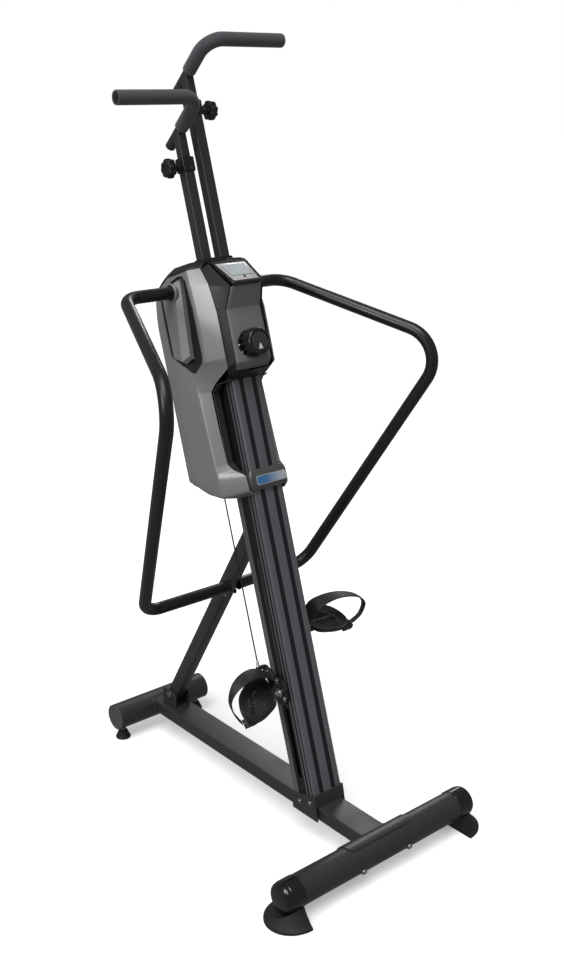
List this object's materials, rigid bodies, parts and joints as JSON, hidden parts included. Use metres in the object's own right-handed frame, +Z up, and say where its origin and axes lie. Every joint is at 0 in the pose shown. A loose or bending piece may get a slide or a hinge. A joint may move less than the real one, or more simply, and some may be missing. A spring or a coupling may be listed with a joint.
{
  "type": "vertical climber machine",
  "caption": "Vertical climber: leaning column on a T-shaped floor frame, opposed sliding arms each with pedal and handle, bent side bars, drive housing with console.",
  "frame": {"origin": "centre of the footprint on the floor, under the column's foot line", "axes": "+Z up, -Y towards the user, +X on the right hand of a user who faces the machine"},
  "size_m": [0.8502, 1.0607, 1.982],
  "materials": {
    "frame_paint": "satin charcoal powder coat",
    "column_anodised": "satin anodised extrusion, grey with a violet cast",
    "black_plastic": "black moulded plastic",
    "silver_plastic": "satin silver-grey painted plastic",
    "console_plastic": "fine-textured charcoal plastic",
    "display_grey": "grey bezel round a grey-blue display",
    "rubber": "black moulded rubber",
    "grip_foam": "soft black foam sleeve",
    "zinc_steel": "zinc-plated steel",
    "flywheel_iron": "machined iron",
    "cable_cover": "thin black sheathed cable"
  },
  "bodies": {
    "frame": {"front_stabiliser_tube": "frame_paint", "rear_stabiliser_tube": "frame_paint", "base_beam": "frame_paint", "brace_tube": "frame_paint", "brace_foot_bracket": "frame_paint", "column_socket": "frame_paint", "side_bar_upper_left": "frame_paint", "side_bar_upper_right": "frame_paint", "side_bar_lower_left": "frame_paint", "side_bar_lower_right": "frame_paint", "bar_mount": "frame_paint", "column": "column_anodised", "front_cap_left": "black_plastic", "front_cap_right": "black_plastic", "bar_collar_left": "black_plastic", "bar_collar_right": "black_plastic", "inner_frame_left": "black_plastic", "inner_frame_right": "black_plastic", "top_cover": "black_plastic", "console_surround": "black_plastic", "lower_collar": "black_plastic", "left_cover": "silver_plastic", "right_cover": "silver_plastic", "left_bar_cover": "silver_plastic", "right_bar_cover": "silver_plastic", "console_front": "console_plastic", "rear_plug_left": "console_plastic", "rear_plug_right": "console_plastic", "display_unit": "display_grey", "front_foot_left": "rubber", "front_foot_right": "rubber", "brace_pivot_bolt": "zinc_steel", "drive_axle": "zinc_steel"},
    "left_arm": {"left_arm_tube": "frame_paint", "left_clamp": "black_plastic", "left_carriage": "black_plastic", "left_cable": "cable_cover", "left_pedal_axle": "zinc_steel"},
    "left_handle_post": {"left_handle": "frame_paint", "left_grip": "grip_foam"},
    "left_knob": {"left_clamp_knob": "black_plastic"},
    "left_pedal_swing": {"left_pedal": "black_plastic", "left_toe_strap": "rubber"},
    "left_levelling_foot": {"levelling_foot_left": "rubber"},
    "right_arm": {"right_arm_tube": "frame_paint", "right_clamp": "black_plastic", "right_carriage": "black_plastic", "right_cable": "cable_cover", "right_pedal_axle": "zinc_steel"},
    "right_handle_post": {"right_handle": "frame_paint", "right_grip": "grip_foam"},
    "right_knob": {"right_clamp_knob": "black_plastic"},
    "right_pedal_swing": {"right_pedal": "black_plastic", "right_toe_strap": "rubber"},
    "right_levelling_foot": {"levelling_foot_right": "rubber"},
    "resistance_dial": {"resistance_knob": "black_plastic"},
    "button": {"display_button": "black_plastic"},
    "pulley": {"drive_pulley": "black_plastic"},
    "wheel": {"flywheel": "flywheel_iron"},
    "magnets": {"magnet_carrier": "zinc_steel"}
  },
  "joints": [
    {"name": "left_climb", "type": "slide", "parent": "frame", "child": "left_arm", "axis": [0, 0.287, 0.9579], "range_m": [-0.18, 0.318]},
    {"name": "right_climb", "type": "slide", "parent": "frame", "child": "right_arm", "axis": [0, 0.287, 0.9579], "range_m": [-0.318, 0.18]},
    {"name": "left_handle_height", "type": "slide", "parent": "left_arm", "child": "left_handle_post", "axis": [0, 0.287, 0.9579], "range_m": [-0.03, 0.2]},
    {"name": "left_clamp_screw", "type": "hinge", "parent": "left_arm", "child": "left_knob", "pos_m": [-0.083, 0.22609, 1.66624], "axis": [-1, 0, 0], "range_deg": [0, 720]},
    {"name": "left_pedal_pivot", "type": "hinge", "parent": "left_arm", "child": "left_pedal_swing", "pos_m": [-0.12, -0.15441, 0.38452], "axis": [1, 0, 0], "continuous": true},
    {"name": "left_foot_level", "type": "slide", "parent": "frame", "child": "left_levelling_foot", "axis": [0, 0, 1], "range_m": [-0.02, 0]},
    {"name": "right_handle_height", "type": "slide", "parent": "right_arm", "child": "right_handle_post", "axis": [0, 0.287, 0.9579], "range_m": [-0.03, 0.2]},
    {"name": "right_clamp_screw", "type": "hinge", "parent": "right_arm", "child": "right_knob", "pos_m": [0.083, 0.26584, 1.79891], "axis": [1, 0, 0], "range_deg": [0, 720]},
    {"name": "right_pedal_pivot", "type": "hinge", "parent": "right_arm", "child": "right_pedal_swing", "pos_m": [0.12, -0.11465, 0.51719], "axis": [1, 0, 0], "continuous": true},
    {"name": "right_foot_level", "type": "slide", "parent": "frame", "child": "right_levelling_foot", "axis": [0, 0, 1], "range_m": [-0.02, 0]},
    {"name": "resistance_turn", "type": "hinge", "parent": "frame", "child": "resistance_dial", "pos_m": [0, -0.01563, 1.26577], "axis": [0, -0.9579, 0.287], "range_deg": [-270, 0]},
    {"name": "magnet_lift", "type": "hinge", "parent": "frame", "child": "magnets", "pos_m": [-0.04796, 0.24012, 1.31101], "axis": [0, 0.9579, -0.287], "range_deg": [-6.1, 0]},
    {"name": "pulley_turn", "type": "hinge", "parent": "frame", "child": "pulley", "pos_m": [0, 0.16062, 1.25472], "axis": [0, 0.9579, -0.287], "range_deg": [-150, 264]},
    {"name": "flywheel_turn", "type": "hinge", "parent": "frame", "child": "wheel", "pos_m": [0, 0.21809, 1.23749], "axis": [0, 0.9579, -0.287], "range_deg": [-600, 1056]},
    {"name": "button_press", "type": "slide", "parent": "frame", "child": "button", "axis": [0, -0.4393, 0.8984], "range_m": [-0.001, 0], "stiffness_N_per_m": 200}
  ],
  "couplings": [
    {"joint": "right_climb", "follows": "left_climb", "ratio": -1},
    {"joint": "pulley_turn", "follows": "left_climb", "rad_per_m": 14.286},
    {"joint": "flywheel_turn", "follows": "left_climb", "rad_per_m": 57.143},
    {"joint": "magnet_lift", "follows": "resistance_turn", "ratio": 0.02222}
  ]
}
